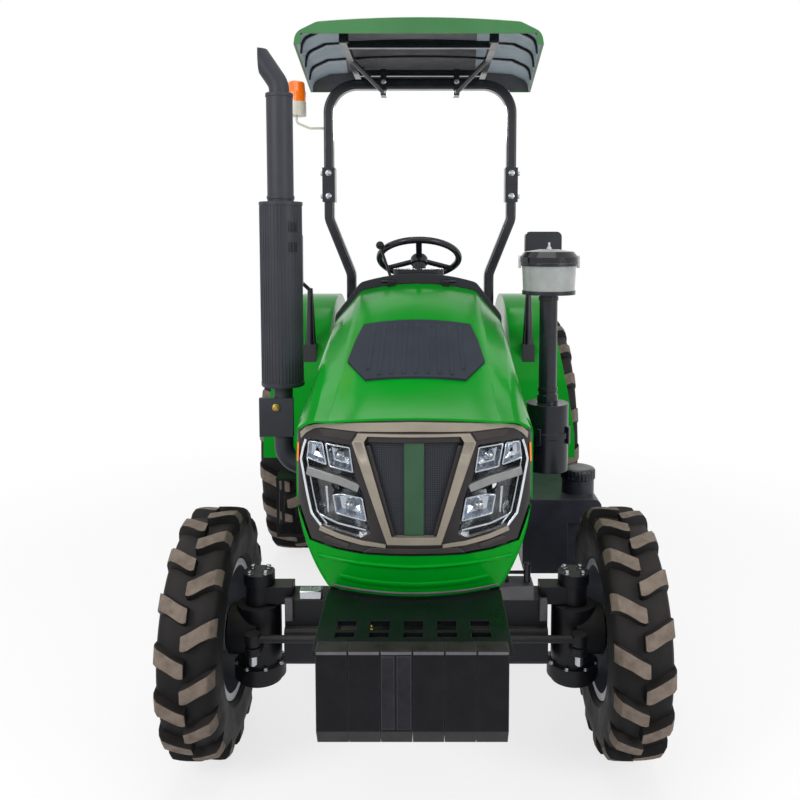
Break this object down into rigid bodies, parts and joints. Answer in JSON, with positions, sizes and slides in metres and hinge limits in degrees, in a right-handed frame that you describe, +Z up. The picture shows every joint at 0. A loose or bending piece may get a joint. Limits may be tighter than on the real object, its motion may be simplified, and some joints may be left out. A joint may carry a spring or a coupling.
{
  "type": "compact farm tractor",
  "caption": "Four-wheel-drive farm tractor with lugged tyres, front weights, tilting hood, upright exhaust, roll bar with canopy, beacon and three-point hitch.",
  "frame": {"origin": "middle of the bounding box at ground level", "axes": "forward is -Y, the driver's left is +X, up is +Z"},
  "size_m": [1.512, 3.4199, 2.5999],
  "materials": {
    "green_paint": "gloss",
    "black_paint": "satin",
    "charcoal_paint": "satin",
    "cast_paint": "painted",
    "weight_paint": "satin",
    "rim_paint": "satin",
    "tyre_rubber": "matt",
    "fascia_plastic": "grained",
    "grille_plastic": "moulded",
    "lamp_plastic": "clear",
    "black_plastic": "grained",
    "bowl_plastic": "smoked",
    "amber_plastic": "clear",
    "cream_plastic": "moulded",
    "red_plastic": "moulded",
    "seat_vinyl": "grained",
    "steel": "ground",
    "canopy_plastic": "moulded"
  },
  "bodies": {
    "chassis": {"front_axle": "cast_paint", "steering_cylinder": "black_paint", "front_frame": "black_paint", "front_weights": "weight_paint", "engine": "cast_paint", "radiator": "black_paint", "gearbox": "cast_paint", "axle_tubes": "cast_paint", "chin": "green_paint", "exhaust": "charcoal_paint", "muffler_shield": "charcoal_paint", "air_cleaner": "charcoal_paint", "precleaner_bowl": "bowl_plastic", "precleaner_lid": "black_plastic", "fuel_tank": "black_plastic", "fuel_cap": "black_plastic", "platform": "black_paint", "dash": "black_plastic", "controls": "black_paint", "seat_frame": "black_paint", "seat_pads": "seat_vinyl", "tail_lamps": "red_plastic", "rops_posts": "black_paint", "rops_hoop": "black_paint", "canopy": "canopy_plastic", "canopy_frame": "black_paint", "beacon_base": "cream_plastic", "beacon_lens": "amber_plastic", "mirrors": "black_plastic", "drawbar": "black_paint", "pto": "black_paint", "fender_left": "green_paint", "fender_right": "green_paint"},
    "hood": {"hood_top": "green_paint", "hood_sides": "green_paint", "hood_vent": "black_plastic", "fascia": "fascia_plastic", "grille": "grille_plastic", "headlamps": "lamp_plastic"},
    "steering_wheel": {"steering_wheel": "black_plastic"},
    "steering_rod": {"steering_rod": "steel"},
    "rock_arms": {"rock_arms": "cast_paint"},
    "lower_links": {"lower_links": "black_paint"},
    "lift_rods": {"lift_rods": "black_paint"},
    "knuckle_left": {"knuckle_left": "cast_paint"},
    "front_wheel_left": {"front_tyre_left": "tyre_rubber", "front_rim_left": "rim_paint"},
    "rear_wheel_left": {"rear_tyre_left": "tyre_rubber", "rear_rim_left": "rim_paint"},
    "knuckle_right": {"knuckle_right": "cast_paint"},
    "front_wheel_right": {"front_tyre_right": "tyre_rubber", "front_rim_right": "rim_paint"},
    "rear_wheel_right": {"rear_tyre_right": "tyre_rubber", "rear_rim_right": "rim_paint"}
  },
  "joints": [
    {"name": "rear_left_spin", "type": "hinge", "parent": "chassis", "child": "rear_wheel_left", "pos_m": [0.612, 0.86, 0.602], "axis": [1, 0, 0], "continuous": true},
    {"name": "steer_left", "type": "hinge", "parent": "chassis", "child": "knuckle_left", "pos_m": [0.505, -0.93, 0.499], "axis": [0, 0, 1], "range_deg": [-38, 38]},
    {"name": "front_left_spin", "type": "hinge", "parent": "knuckle_left", "child": "front_wheel_left", "pos_m": [0.651, -0.93, 0.38], "axis": [1, 0, 0], "continuous": true},
    {"name": "rear_right_spin", "type": "hinge", "parent": "chassis", "child": "rear_wheel_right", "pos_m": [-0.612, 0.86, 0.602], "axis": [1, 0, 0], "continuous": true},
    {"name": "steer_right", "type": "hinge", "parent": "chassis", "child": "knuckle_right", "pos_m": [-0.505, -0.93, 0.499], "axis": [0, 0, 1], "range_deg": [-38, 38]},
    {"name": "front_right_spin", "type": "hinge", "parent": "knuckle_right", "child": "front_wheel_right", "pos_m": [-0.651, -0.93, 0.38], "axis": [1, 0, 0], "continuous": true},
    {"name": "steering_wheel_turn", "type": "hinge", "parent": "chassis", "child": "steering_wheel", "pos_m": [0, 0.24, 1.54], "axis": [0, 0.4695, 0.8829], "range_deg": [-570, 570]},
    {"name": "steering_rod_slide", "type": "slide", "parent": "chassis", "child": "steering_rod", "axis": [1, 0, 0], "range_m": [-0.0712, 0.0712]},
    {"name": "hood_hinge", "type": "hinge", "parent": "chassis", "child": "hood", "pos_m": [0, -0.142, 1.456], "axis": [-1, 0, 0], "range_deg": [0, 60]},
    {"name": "hitch_lift", "type": "hinge", "parent": "chassis", "child": "lower_links", "pos_m": [0, 0.92, 0.4], "axis": [1, 0, 0], "range_deg": [0, 36]},
    {"name": "rock_turn", "type": "hinge", "parent": "chassis", "child": "rock_arms", "pos_m": [0, 1.05, 0.89], "axis": [1, 0, 0], "range_deg": [0, 66]},
    {"name": "lift_rod_swing", "type": "hinge", "parent": "lower_links", "child": "lift_rods", "pos_m": [0, 1.338, 0.31115], "axis": [1, 0, 0], "range_deg": [-36, 0]}
  ],
  "couplings": [
    {"joint": "steer_right", "follows": "steer_left", "ratio": 1},
    {"joint": "steering_wheel_turn", "follows": "steer_left", "ratio": 15},
    {"joint": "steering_rod_slide", "follows": "steer_left", "m_per_rad": 0.10675},
    {"joint": "rock_turn", "follows": "hitch_lift", "ratio": 1.82},
    {"joint": "lift_rod_swing", "follows": "hitch_lift", "ratio": -0.94}
  ]
}
